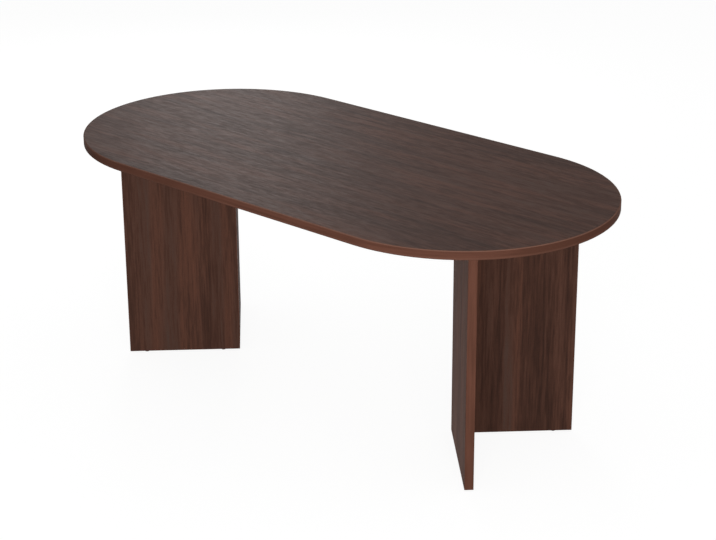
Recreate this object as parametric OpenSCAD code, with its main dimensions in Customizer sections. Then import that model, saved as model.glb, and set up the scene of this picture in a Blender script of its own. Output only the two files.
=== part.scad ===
// Racetrack table: a laminate top with round ends on two V-shaped bases of upright panels.
// X runs along the table, Y across it towards the back and Z up.
// The origin lies on the floor under the middle of the top.

/* [Tabletop] */
// Overall length of the top
top_length = 1803; // [1700:1:2400]
// Overall width of the top, which is also the diameter of its round ends
top_width = 889; // [820:1:1200]
// Height of the top's upper face above the floor
table_height = 737; // [650:1:800]
// Thickness of the top with its sheets
top_thickness = 25.4; // [22:0.1:38]
// Thickness of the laminate sheet on the upper face
top_sheet_thickness = 0.9; // [0.5:0.1:1.5]
// Thickness of the backing sheet on the underside
backer_thickness = 0.7; // [0.4:0.1:1.5]
// Thickness of the band round the rim
rim_band_thickness = 3; // [2.5:0.1:4]
// Radius of the rim band's rounded corners
rim_round = 2.2; // [0.5:0.1:2.4]

/* [Leg panels] */
// Length of a leg panel from end to end
leg_length = 350; // [300:1:380]
// Thickness of a leg panel with its sheets
leg_thickness = 25.4; // [22:0.1:32]
// Thickness of the laminate sheet on each face of a leg panel
leg_sheet_thickness = 0.8; // [0.4:0.1:1.2]
// Thickness of the band on a leg panel's upright edges
leg_band_thickness = 2; // [1.6:0.1:3]
// Radius of the upright bands' rounded corners
leg_band_round = 1.5; // [0.4:0.1:1.5]
// Thickness of the band on a leg panel's foot
foot_band_thickness = 1; // [0.4:0.1:2]
// Height of the leg panels' feet above the floor, with the glides screwed in
foot_gap = 5; // [4.4:0.1:8]
// Distance from the end of the top to the outer corner of the V under it
leg_corner_inset = 463.5; // [430:0.5:600]

/* [Cam joints] */
// Diameter of a cam
cam_diameter = 15; // [14.5:0.1:18]
// Length of a cam along its own axis
cam_length = 17.4; // [17.2:0.1:18]
// Depth of a cam's face below the leg panel's inner face
cam_recess = 0.3; // [0:0.1:0.6]
// Distance from the butted leg panel's inner end to the cams' axes
cam_setback = 34; // [24:1:50]
// Distance from a leg panel's foot and top edge to the lowest and highest cam
cam_end_inset = 77; // [60:1:140]
// Radial running clearance round a cam
cam_clearance = 0.08; // [0.05:0.01:0.1]
// Radius of the hollow inside a cam
cam_hollow_radius = 5.4; // [5.3:0.1:5.6]
// Offset of that hollow from the cam's axis, which makes the cam pull the bolt
cam_throw = 0.6; // [0.4:0.1:0.8]
// Width of a cam's driver slots
cam_slot_width = 1.4; // [1:0.1:1.8]
// Length of a cam's driver slots
cam_slot_length = 8; // [5:0.1:9]
// Depth of a cam's driver slots
cam_slot_depth = 2.6; // [1:0.1:3]

/* [Cam bolts and dowels] */
// Diameter of a cam bolt's thread
bolt_thread_diameter = 6; // [5:0.1:6.5]
// Length of that thread, all of it inside the through leg panel
bolt_thread_length = 11; // [8:0.5:14]
// Diameter of a cam bolt's shank
bolt_shank_diameter = 7; // [6.8:0.1:7.5]
// Diameter of a cam bolt's neck, which the cam's window passes
bolt_neck_diameter = 4.4; // [3.5:0.1:4.8]
// Diameter of a cam bolt's head
bolt_head_diameter = 7; // [6.4:0.1:7]
// Length of a cam bolt's head
bolt_head_length = 3; // [2.4:0.1:3]
// Clearance round a cam bolt's head and neck inside the cam
bolt_clearance = 0.4; // [0.3:0.1:0.5]
// Diameter of a dowel
dowel_diameter = 8; // [6:0.5:10]
// Length of a dowel
dowel_length = 35; // [30:1:40]
// Length of a dowel inside the through leg panel
dowel_seat = 12; // [8:0.5:14]

/* [Brackets and screws] */
// Length of each leg of an angle bracket
bracket_leg = 32; // [28:0.5:40]
// Width of an angle bracket
bracket_width = 40; // [30:1:60]
// Thickness of a bracket's steel
bracket_thickness = 2; // [1.2:0.1:3]
// Inside radius of a bracket's bend
bracket_bend_radius = 2; // [0.5:0.1:4]
// Distance from a bracket's corner to its screw holes
bracket_hole_offset = 20; // [16:0.5:22]
// Distance between the two screw holes in one leg of a bracket
bracket_hole_spacing = 22; // [14:0.5:26]
// Distance from the V's corner to the first bracket's middle
bracket_corner_inset = 100; // [90:1:130]
// Distance from a leg panel's tip to the second bracket's middle
bracket_tip_inset = 60; // [40:1:90]
// Diameter of a wood screw's shank
screw_diameter = 4; // [3:0.1:5]
// Length of a wood screw under its head
screw_length = 16; // [12:0.5:18]
// Diameter of a wood screw's head
screw_head_diameter = 8; // [6.5:0.1:9]
// Height of a wood screw's head
screw_head_height = 2.4; // [1.8:0.1:3]

/* [Levelling glides] */
// Diameter of a glide's pad
pad_diameter = 18; // [16:0.5:22]
// Diameter of the flat under a glide's pad
pad_flat_diameter = 12; // [8:0.5:15]
// Gap between a pad and the leg panel above it, with the glide screwed in
pad_gap = 0.2; // [0.1:0.05:0.3]
// Diameter of a glide's threaded stem
stem_diameter = 8; // [6:0.1:8]
// Diameter of the stem's head, which the pad holds
stem_head_diameter = 11; // [10:0.1:11.4]
// Thickness of the stem's head
stem_head_thickness = 1.4; // [0.8:0.1:1.5]
// Thickness of the pad under the stem's head
pad_floor = 1.5; // [0.8:0.1:1.6]
// Running clearance between the stem and what it turns in
stem_clearance = 0.08; // [0.03:0.01:0.1]
// Distance that a glide can be screwed out
glide_travel = 10; // [5:0.5:14]
// Length of stem left in the insert with the glide screwed out
stem_engagement = 14; // [10:0.5:18]
// Diameter of the threaded insert in a leg panel's foot
insert_diameter = 12; // [11:0.1:14]
// Length of that insert
insert_length = 18; // [12:0.5:22]
// Distance from a leg panel's ends to its glides
glide_inset = 53; // [40:1:80]

/* [Hidden] */

$fn = 64;
// Segments of the top's long curves in a preview
TOP_FN = 180;
// Extra length of a cut past the face that it opens
CUT = 1;
// Extra diameter of a hole that a bolt or stem passes freely
FREE_HOLE_EASE = 1;
// Extra diameter of a bracket's screw holes
SCREW_HOLE_EASE = 0.6;
// Chamfer on the ends of bolts, dowels and stems
END_CHAMFER = 1;
// Room past the end of a stem in its hole
STEM_END_ROOM = 2;
// Gap between a cam and the start of the bolt's shank
SHANK_GAP = 2;
// Distance from a cam's axis to the near side of the bolt's head
HEAD_START = 0.2;
// Length and depth of the pointer groove on a cam's face
POINTER_LENGTH = 2;
POINTER_DEPTH = 0.6;
// Width of the crossed slots in a wood screw's head
SCREW_SLOT_WIDTH = 1;

LEFT = -1;
RIGHT = 1;
THROUGH = false;
BUTTED = true;
OUTER = 0;
INNER = 1;
TIP = 0;
CORNER = 1;

// The two legs of a base stand square to each other, each this far off the X axis
LEG_ANGLE = 45;

top_underside = table_height - top_thickness;
end_radius = top_width / 2;
straight_length = top_length - top_width;
apex_x = top_length / 2 - leg_corner_inset;
leg_middle = leg_thickness / 2;

cam_heights = [
    foot_gap + cam_end_inset,
    (foot_gap + top_underside) / 2,
    top_underside - cam_end_inset,
];
dowel_heights = [
    (cam_heights[0] + cam_heights[1]) / 2,
    (cam_heights[1] + cam_heights[2]) / 2,
];
cam_x = leg_thickness + cam_setback;
cam_bore_depth = cam_recess + cam_length + cam_clearance;
// Distances along a cam bolt from the cam's axis back towards its thread
neck_start = HEAD_START + bolt_head_length;
shank_start = cam_diameter / 2 + SHANK_GAP;
// Half of the angle that the bolt's neck needs in the cam's window, at the hollow's wall
neck_half_angle = asin((bolt_neck_diameter / 2 + bolt_clearance) / (cam_hollow_radius - cam_throw));

bracket_bend = bracket_thickness + bracket_bend_radius;

pad_height = foot_gap - pad_gap;
stem_head_base = pad_floor + stem_clearance;
stem_top = foot_gap + glide_travel + stem_engagement;

walnut_top = [0.33, 0.27, 0.25];
walnut_leg = [0.27, 0.18, 0.15];
walnut_band = [0.38, 0.25, 0.21];
raw_board = [0.72, 0.58, 0.42];
backer_brown = [0.22, 0.17, 0.15];
zinc = [0.72, 0.73, 0.75];
beech = [0.82, 0.68, 0.49];
black_nylon = [0.09, 0.09, 0.1];

// Children mirrored across the plane with this normal, or left as they are
module mirrored_if(is_mirrored, normal) {
    if (is_mirrored)
        mirror(normal) children();
    else
        children();
}

// Children in a leg's own frame: X from the V's outer corner to the tip, Y from the outer face inwards.
// Both bases are the same unit, turned half round: the butted leg is right front and left back.
module at_leg(side, is_butted) {
    rotate([0, 0, side == LEFT ? 180 : 0])
        translate([apex_x, 0, 0])
            mirrored_if(!is_butted, [0, 1, 0])
                rotate([0, 0, -LEG_ANGLE])
                    children();
}

// Start of a leg panel in its own frame: the butted one ends at the through one's inner face
function leg_start(is_butted) = is_butted ? leg_thickness : 0;

// Tip of a leg panel in its own frame
function leg_end(is_butted) = leg_start(is_butted) + leg_length;

// Start of a leg panel's core, behind its corner band where it has one
function core_start(is_butted) = is_butted ? leg_thickness : leg_band_thickness;

// Length of a leg panel's core
function core_length(is_butted) = leg_end(is_butted) - leg_band_thickness - core_start(is_butted);

// Place of a glide along its leg
function glide_x(is_butted, place) =
    place == TIP ? leg_end(is_butted) - glide_inset : leg_start(is_butted) + glide_inset;

// Outline of the top or of a sheet on it
module racetrack(inset) {
    square([straight_length, top_width - 2 * inset], center = true);
    for (end = [-1, 1])
        translate([end * straight_length / 2, 0])
            circle(r = end_radius - inset, $fn = TOP_FN);
}

// Section of a band: its flat back lies on the Y axis and its outer corners are rounded
module band_section(thickness, width, radius) {
    intersection() {
        square([thickness, width]);
        union() {
            square([thickness - radius, width]);
            translate([0, radius])
                square([thickness, width - 2 * radius]);
            for (corner = [radius, width - radius])
                translate([thickness - radius, corner])
                    circle(r = radius);
        }
    }
}

// Section of an angle bracket, with its corner at the origin
module bracket_section() {
    translate([0, bracket_bend])
        square([bracket_thickness, bracket_leg - bracket_bend]);
    translate([bracket_bend, 0])
        square([bracket_leg - bracket_bend, bracket_thickness]);
    intersection() {
        square(bracket_bend);
        translate([bracket_bend, bracket_bend])
            difference() {
                circle(r = bracket_bend);
                circle(r = bracket_bend_radius);
            }
    }
}

// Children at both brackets of a leg, in the leg's frame
module at_brackets(is_butted) {
    for (x = [bracket_corner_inset, leg_end(is_butted) - bracket_tip_inset])
        translate([x, leg_thickness, top_underside])
            children();
}

// Children at the screws of a bracket: Z runs out of the leg's inner face, or out of the underside
module at_bracket_screws() {
    for (along = [-1, 1]) {
        translate([along * bracket_hole_spacing / 2, bracket_thickness, -bracket_hole_offset])
            rotate([-90, 0, 0])
                children();
        translate([along * bracket_hole_spacing / 2, bracket_hole_offset, -bracket_thickness])
            rotate([180, 0, 0])
                children();
    }
}

// Holes for a leg's bracket screws, in the leg and in the top
module bracket_screw_holes(is_butted) {
    at_brackets(is_butted)
        at_bracket_screws()
            translate([0, 0, -screw_length])
                cylinder(d = screw_diameter, h = screw_length + CUT);
}

// Holes for a leg's glides: the insert's seat and the stem's way above it
module glide_holes(is_butted) {
    for (place = [TIP, CORNER])
        translate([glide_x(is_butted, place), leg_middle, foot_gap]) {
            translate([0, 0, -CUT])
                cylinder(d = insert_diameter, h = insert_length + CUT);
            cylinder(d = stem_diameter + FREE_HOLE_EASE, h = stem_top + STEM_END_ROOM - foot_gap);
        }
}

// Holes in the through leg's inner face for the bolts' threads and the dowels
module through_joint_holes() {
    for (height = cam_heights)
        translate([leg_middle, leg_thickness - bolt_thread_length, height])
            rotate([-90, 0, 0])
                cylinder(d = bolt_thread_diameter, h = bolt_thread_length + CUT);
    for (height = dowel_heights)
        translate([leg_middle, leg_thickness - dowel_seat, height])
            rotate([-90, 0, 0])
                cylinder(d = dowel_diameter, h = dowel_seat + CUT);
}

// Holes in the butted leg: the cams' bores, and the bolts' and dowels' ways in from its inner end
module butted_joint_holes() {
    for (height = cam_heights) {
        translate([cam_x, leg_thickness + CUT, height])
            rotate([90, 0, 0])
                cylinder(r = cam_diameter / 2 + cam_clearance, h = cam_bore_depth + CUT);
        translate([leg_thickness - CUT, leg_middle, height])
            rotate([0, 90, 0])
                cylinder(d = bolt_shank_diameter + FREE_HOLE_EASE, h = cam_setback + CUT);
    }
    for (height = dowel_heights)
        translate([leg_thickness - CUT, leg_middle, height])
            rotate([0, 90, 0])
                cylinder(d = dowel_diameter, h = dowel_length - dowel_seat + CUT);
}

// All holes in a leg panel
module leg_holes(is_butted) {
    bracket_screw_holes(is_butted);
    glide_holes(is_butted);
    if (is_butted)
        butted_joint_holes();
    else
        through_joint_holes();
}

// A block of a leg panel between two depths from its outer face, above its foot band
module leg_layer(is_butted, from, to) {
    base = foot_gap + foot_band_thickness;
    translate([core_start(is_butted), from, base])
        cube([core_length(is_butted), to - from, top_underside - base]);
}

module top_core() {
    color(raw_board)
        difference() {
            translate([0, 0, top_underside + backer_thickness])
                linear_extrude(top_thickness - backer_thickness - top_sheet_thickness)
                    racetrack(rim_band_thickness);
            for (side = [LEFT, RIGHT], is_butted = [THROUGH, BUTTED])
                at_leg(side, is_butted)
                    bracket_screw_holes(is_butted);
        }
}

module top_sheet() {
    color(walnut_top)
        translate([0, 0, table_height - top_sheet_thickness])
            linear_extrude(top_sheet_thickness)
                racetrack(rim_band_thickness);
}

module top_backer() {
    color(backer_brown)
        difference() {
            translate([0, 0, top_underside])
                linear_extrude(backer_thickness)
                    racetrack(rim_band_thickness);
            for (side = [LEFT, RIGHT], is_butted = [THROUGH, BUTTED])
                at_leg(side, is_butted)
                    bracket_screw_holes(is_butted);
        }
}

module top_rim_band() {
    color(walnut_band)
        translate([0, 0, top_underside])
            for (turn = [0, 180])
                rotate([0, 0, turn]) {
                    translate([straight_length / 2, 0, 0])
                        rotate([0, 0, -90])
                            rotate_extrude(angle = 180, $fn = TOP_FN)
                                translate([end_radius - rim_band_thickness, 0])
                                    band_section(rim_band_thickness, top_thickness, rim_round);
                    translate([-straight_length / 2, end_radius - rim_band_thickness, 0])
                        rotate([90, 0, 90])
                            linear_extrude(straight_length)
                                band_section(rim_band_thickness, top_thickness, rim_round);
                }
}

module leg_core(side, is_butted) {
    color(raw_board)
        at_leg(side, is_butted)
            difference() {
                leg_layer(is_butted, leg_sheet_thickness, leg_thickness - leg_sheet_thickness);
                leg_holes(is_butted);
            }
}

module leg_sheet(side, is_butted, face) {
    from = face == OUTER ? 0 : leg_thickness - leg_sheet_thickness;
    color(walnut_leg)
        at_leg(side, is_butted)
            difference() {
                leg_layer(is_butted, from, from + leg_sheet_thickness);
                leg_holes(is_butted);
            }
}

module leg_tip_band(side, is_butted) {
    color(walnut_band)
        at_leg(side, is_butted)
            translate([leg_end(is_butted) - leg_band_thickness, 0, foot_gap])
                linear_extrude(top_underside - foot_gap)
                    band_section(leg_band_thickness, leg_thickness, leg_band_round);
}

// Band on the through leg's end at the V's outer corner, flush with the butted leg's outer face
module leg_corner_band(side) {
    color(walnut_band)
        at_leg(side, THROUGH)
            translate([leg_band_thickness, leg_thickness, foot_gap])
                rotate([0, 0, 180])
                    linear_extrude(top_underside - foot_gap)
                        band_section(leg_band_thickness, leg_thickness, leg_band_round);
}

module leg_foot_band(side, is_butted) {
    color(walnut_band)
        at_leg(side, is_butted)
            difference() {
                translate([core_start(is_butted), 0, foot_gap])
                    cube([core_length(is_butted), leg_thickness, foot_band_thickness]);
                glide_holes(is_butted);
            }
}

// A cam with its axis on Z: its face is at the origin and the bolt comes in along +X
module cam_lock() {
    bolt_z = leg_middle - cam_recess;
    hollow_height = bolt_head_diameter + 2 * bolt_clearance;
    window_height = bolt_neck_diameter + 2 * bolt_clearance;
    difference() {
        cylinder(d = cam_diameter, h = cam_length);
        translate([-cam_throw, 0, bolt_z - hollow_height / 2])
            cylinder(r = cam_hollow_radius, h = hollow_height);
        // Window for the bolt's neck over the half turn
        rotate([0, 0, -neck_half_angle])
            rotate_extrude(angle = 180 + 2 * neck_half_angle)
                translate([cam_hollow_radius - cam_throw - CUT, bolt_z - window_height / 2])
                    square([cam_diameter, window_height]);
        // Way in for the bolt's head, in line with it when the cam is unlocked
        translate([0, 0, bolt_z])
            rotate([0, -90, 0])
                cylinder(d = hollow_height, h = cam_diameter);
        for (turn = [0, 90])
            rotate([0, 0, turn])
                translate([-cam_slot_length / 2, -cam_slot_width / 2, -CUT])
                    cube([cam_slot_length, cam_slot_width, cam_slot_depth + CUT]);
        // Pointer groove on the face, towards the bolt when locked
        translate([cam_diameter / 2 - POINTER_LENGTH, -cam_slot_width / 4, -CUT])
            cube([POINTER_LENGTH + CUT, cam_slot_width / 2, CUT + POINTER_DEPTH]);
    }
}

module cam(side, height) {
    color(zinc)
        at_leg(side, BUTTED)
            translate([cam_x, leg_thickness - cam_recess, height])
                rotate([-90, 0, 180])
                    cam_lock();
}

// A cam bolt on Z: the cam's axis crosses it at the origin and its thread points up
module cam_bolt() {
    thread_end = cam_setback + bolt_thread_length;
    rotate_extrude()
        polygon([
            [0, HEAD_START],
            [bolt_head_diameter / 2, HEAD_START],
            [bolt_head_diameter / 2, neck_start],
            [bolt_neck_diameter / 2, neck_start],
            [bolt_neck_diameter / 2, shank_start],
            [bolt_shank_diameter / 2, shank_start],
            [bolt_shank_diameter / 2, cam_setback],
            [bolt_thread_diameter / 2, cam_setback],
            [bolt_thread_diameter / 2, thread_end - END_CHAMFER],
            [bolt_thread_diameter / 2 - END_CHAMFER, thread_end],
            [0, thread_end],
        ]);
}

module cam_bolts() {
    color(zinc)
        for (side = [LEFT, RIGHT], height = cam_heights)
            at_leg(side, BUTTED)
                translate([cam_x, leg_middle, height])
                    rotate([0, -90, 0])
                        cam_bolt();
}

module dowels() {
    radius = dowel_diameter / 2;
    color(beech)
        for (side = [LEFT, RIGHT], height = dowel_heights)
            at_leg(side, BUTTED)
                translate([leg_thickness - dowel_seat, leg_middle, height])
                    rotate([0, 90, 0])
                        rotate_extrude()
                            polygon([
                                [0, 0],
                                [radius - END_CHAMFER, 0],
                                [radius, END_CHAMFER],
                                [radius, dowel_length - END_CHAMFER],
                                [radius - END_CHAMFER, dowel_length],
                                [0, dowel_length],
                            ]);
}

module leg_brackets(side, is_butted) {
    color(zinc)
        at_leg(side, is_butted)
            at_brackets(is_butted)
                difference() {
                    translate([bracket_width / 2, 0, 0])
                        rotate([-90, 0, 90])
                            linear_extrude(bracket_width)
                                bracket_section();
                    at_bracket_screws()
                        translate([0, 0, -CUT - bracket_thickness])
                            cylinder(d = screw_diameter + SCREW_HOLE_EASE, h = bracket_thickness + 2 * CUT);
                }
}

// A wood screw on Z: the face that it holds is at the origin and its tip points down
module wood_screw() {
    difference() {
        rotate_extrude()
            polygon([
                [0, -screw_length],
                [screw_diameter / 2, screw_diameter - screw_length],
                [screw_diameter / 2, 0],
                [screw_head_diameter / 2, 0],
                [screw_head_diameter / 2, screw_head_height / 2],
                [screw_head_diameter / 3, screw_head_height],
                [0, screw_head_height],
            ]);
        for (turn = [0, 90])
            rotate([0, 0, turn])
                translate([-screw_head_diameter / 4, -SCREW_SLOT_WIDTH / 2, screw_head_height / 2])
                    cube([screw_head_diameter / 2, SCREW_SLOT_WIDTH, screw_head_height]);
    }
}

module bracket_screws() {
    color(zinc)
        for (side = [LEFT, RIGHT], is_butted = [THROUGH, BUTTED])
            at_leg(side, is_butted)
                at_brackets(is_butted)
                    at_bracket_screws()
                        wood_screw();
}

module glide_inserts() {
    color(zinc)
        for (side = [LEFT, RIGHT], is_butted = [THROUGH, BUTTED], place = [TIP, CORNER])
            at_leg(side, is_butted)
                translate([glide_x(is_butted, place), leg_middle, foot_gap])
                    difference() {
                        cylinder(d = insert_diameter, h = insert_length);
                        translate([0, 0, -CUT])
                            cylinder(r = stem_diameter / 2 + stem_clearance, h = insert_length + 2 * CUT);
                    }
}

// Pad of a glide: it snaps round the stem's head, which turns in it
module glide_pad(side, is_butted, place) {
    head_room = stem_head_thickness + 2 * stem_clearance;
    color(black_nylon)
        at_leg(side, is_butted)
            translate([glide_x(is_butted, place), leg_middle, 0])
                difference() {
                    rotate_extrude()
                        polygon([
                            [0, 0],
                            [pad_flat_diameter / 2, 0],
                            [pad_diameter / 2, pad_height / 2],
                            [pad_diameter / 2, pad_height],
                            [0, pad_height],
                        ]);
                    translate([0, 0, pad_floor])
                        cylinder(r = stem_head_diameter / 2 + stem_clearance, h = head_room);
                    translate([0, 0, pad_floor])
                        cylinder(r = stem_diameter / 2 + stem_clearance, h = pad_height);
                }
}

module glide_stem(side, is_butted, place) {
    head_top = stem_head_base + stem_head_thickness;
    color(zinc)
        at_leg(side, is_butted)
            translate([glide_x(is_butted, place), leg_middle, 0])
                rotate_extrude()
                    polygon([
                        [0, stem_head_base],
                        [stem_head_diameter / 2, stem_head_base],
                        [stem_head_diameter / 2, head_top],
                        [stem_diameter / 2, head_top],
                        [stem_diameter / 2, stem_top - END_CHAMFER],
                        [stem_diameter / 2 - END_CHAMFER, stem_top],
                        [0, stem_top],
                    ]);
}

top_core();
top_sheet();
top_backer();
top_rim_band();

leg_core(LEFT, THROUGH);  // left_front_leg_core
leg_sheet(LEFT, THROUGH, OUTER);  // left_front_leg_outer_sheet
leg_sheet(LEFT, THROUGH, INNER);  // left_front_leg_inner_sheet
leg_tip_band(LEFT, THROUGH);  // left_front_leg_tip_band
leg_corner_band(LEFT);  // left_front_leg_corner_band
leg_foot_band(LEFT, THROUGH);  // left_front_leg_foot_band

leg_core(LEFT, BUTTED);  // left_back_leg_core
leg_sheet(LEFT, BUTTED, OUTER);  // left_back_leg_outer_sheet
leg_sheet(LEFT, BUTTED, INNER);  // left_back_leg_inner_sheet
leg_tip_band(LEFT, BUTTED);  // left_back_leg_tip_band
leg_foot_band(LEFT, BUTTED);  // left_back_leg_foot_band

leg_core(RIGHT, BUTTED);  // right_front_leg_core
leg_sheet(RIGHT, BUTTED, OUTER);  // right_front_leg_outer_sheet
leg_sheet(RIGHT, BUTTED, INNER);  // right_front_leg_inner_sheet
leg_tip_band(RIGHT, BUTTED);  // right_front_leg_tip_band
leg_foot_band(RIGHT, BUTTED);  // right_front_leg_foot_band

leg_core(RIGHT, THROUGH);  // right_back_leg_core
leg_sheet(RIGHT, THROUGH, OUTER);  // right_back_leg_outer_sheet
leg_sheet(RIGHT, THROUGH, INNER);  // right_back_leg_inner_sheet
leg_tip_band(RIGHT, THROUGH);  // right_back_leg_tip_band
leg_corner_band(RIGHT);  // right_back_leg_corner_band
leg_foot_band(RIGHT, THROUGH);  // right_back_leg_foot_band

cam(LEFT, cam_heights[0]);  // left_cam_low
cam(LEFT, cam_heights[1]);  // left_cam_middle
cam(LEFT, cam_heights[2]);  // left_cam_high
cam(RIGHT, cam_heights[0]);  // right_cam_low
cam(RIGHT, cam_heights[1]);  // right_cam_middle
cam(RIGHT, cam_heights[2]);  // right_cam_high
cam_bolts();
dowels();

leg_brackets(LEFT, THROUGH);  // left_front_leg_brackets
leg_brackets(LEFT, BUTTED);  // left_back_leg_brackets
leg_brackets(RIGHT, BUTTED);  // right_front_leg_brackets
leg_brackets(RIGHT, THROUGH);  // right_back_leg_brackets
bracket_screws();
glide_inserts();

glide_pad(LEFT, THROUGH, TIP);  // left_front_tip_glide_pad
glide_stem(LEFT, THROUGH, TIP);  // left_front_tip_glide_stem
glide_pad(LEFT, THROUGH, CORNER);  // left_front_corner_glide_pad
glide_stem(LEFT, THROUGH, CORNER);  // left_front_corner_glide_stem
glide_pad(LEFT, BUTTED, TIP);  // left_back_tip_glide_pad
glide_stem(LEFT, BUTTED, TIP);  // left_back_tip_glide_stem
glide_pad(LEFT, BUTTED, CORNER);  // left_back_corner_glide_pad
glide_stem(LEFT, BUTTED, CORNER);  // left_back_corner_glide_stem
glide_pad(RIGHT, BUTTED, TIP);  // right_front_tip_glide_pad
glide_stem(RIGHT, BUTTED, TIP);  // right_front_tip_glide_stem
glide_pad(RIGHT, BUTTED, CORNER);  // right_front_corner_glide_pad
glide_stem(RIGHT, BUTTED, CORNER);  // right_front_corner_glide_stem
glide_pad(RIGHT, THROUGH, TIP);  // right_back_tip_glide_pad
glide_stem(RIGHT, THROUGH, TIP);  // right_back_tip_glide_stem
glide_pad(RIGHT, THROUGH, CORNER);  // right_back_corner_glide_pad
glide_stem(RIGHT, THROUGH, CORNER);  // right_back_corner_glide_stem
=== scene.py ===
"""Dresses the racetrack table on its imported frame: laminate, edge bands, fittings and studio.

Sizes are in metres, in the table's own frame: X along the top, Y across it, Z up from the floor.
"""

from __future__ import annotations

import logging
import math
from abc import ABC, abstractmethod
from collections.abc import Callable, Iterable, Mapping, Sequence
from dataclasses import dataclass, field
from enum import Enum
from typing import Any, Union

import bmesh
import bpy
from mathutils import Matrix, Vector

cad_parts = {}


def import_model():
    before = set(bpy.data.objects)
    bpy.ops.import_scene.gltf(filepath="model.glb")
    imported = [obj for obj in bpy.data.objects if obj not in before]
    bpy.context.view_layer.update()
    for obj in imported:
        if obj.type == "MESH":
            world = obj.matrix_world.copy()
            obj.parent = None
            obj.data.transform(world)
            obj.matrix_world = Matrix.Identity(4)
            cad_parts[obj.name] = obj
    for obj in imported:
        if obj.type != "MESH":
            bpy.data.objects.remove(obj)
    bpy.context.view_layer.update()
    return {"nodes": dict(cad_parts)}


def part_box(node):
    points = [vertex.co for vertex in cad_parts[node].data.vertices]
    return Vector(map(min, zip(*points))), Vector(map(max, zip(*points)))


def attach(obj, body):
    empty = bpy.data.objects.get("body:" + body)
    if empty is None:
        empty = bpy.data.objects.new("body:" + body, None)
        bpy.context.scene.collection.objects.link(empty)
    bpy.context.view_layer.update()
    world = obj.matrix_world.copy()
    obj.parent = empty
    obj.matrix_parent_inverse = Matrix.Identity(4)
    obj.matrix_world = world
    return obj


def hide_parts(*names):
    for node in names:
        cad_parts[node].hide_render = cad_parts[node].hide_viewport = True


LOG = logging.getLogger("table")
MM = 0.001
DIAGONAL = math.sqrt(0.5)
QUARTER = math.pi / 2
ORIGIN = (0.0, 0.0, 0.0)
WHITE = (1.0, 1.0, 1.0)
Colour = tuple[float, float, float]
Number = Union[float, "Value"]


# Shader maths


@dataclass(frozen=True)
class Value:
    """One number that varies over a surface.

    Attributes:
        tree: The tree that it belongs to.
        socket: The socket that gives it.
    """

    tree: "ShaderTree"
    socket: bpy.types.NodeSocket

    def __add__(self, other: Number) -> "Value":
        """Gives the sum."""
        return self.tree.maths("ADD", self, other)

    def __radd__(self, other: Number) -> "Value":
        """Gives the sum with the number first."""
        return self.tree.maths("ADD", other, self)

    def __sub__(self, other: Number) -> "Value":
        """Gives the difference."""
        return self.tree.maths("SUBTRACT", self, other)

    def __rsub__(self, other: Number) -> "Value":
        """Gives the number less this value."""
        return self.tree.maths("SUBTRACT", other, self)

    def __mul__(self, other: Number) -> "Value":
        """Gives the product."""
        return self.tree.maths("MULTIPLY", self, other)

    def __rmul__(self, other: Number) -> "Value":
        """Gives the product with the number first."""
        return self.tree.maths("MULTIPLY", other, self)

    def at_least(self, floor: Number) -> "Value":
        """Gives the larger of the value and a floor."""
        return self.tree.maths("MAXIMUM", self, floor)

    def at_most(self, ceiling: Number) -> "Value":
        """Gives the smaller of the value and a ceiling."""
        return self.tree.maths("MINIMUM", self, ceiling)

    def held(self) -> "Value":
        """Gives the value kept between 0 and 1."""
        return self.at_least(0.0).at_most(1.0)

    def ramp(self, low: float, high: float) -> "Value":
        """Rises smoothly from 0 to 1.

        Args:
            low: Where the rise starts.
            high: Where the rise ends.

        Returns:
            The smooth step.
        """
        node = self.tree.add(
            "ShaderNodeMapRange",
            {"interpolation_type": "SMOOTHSTEP"},
            {0: self, 1: low, 2: high, 3: 0.0, 4: 1.0},
        )
        return Value(self.tree, node.outputs[0])


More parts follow.
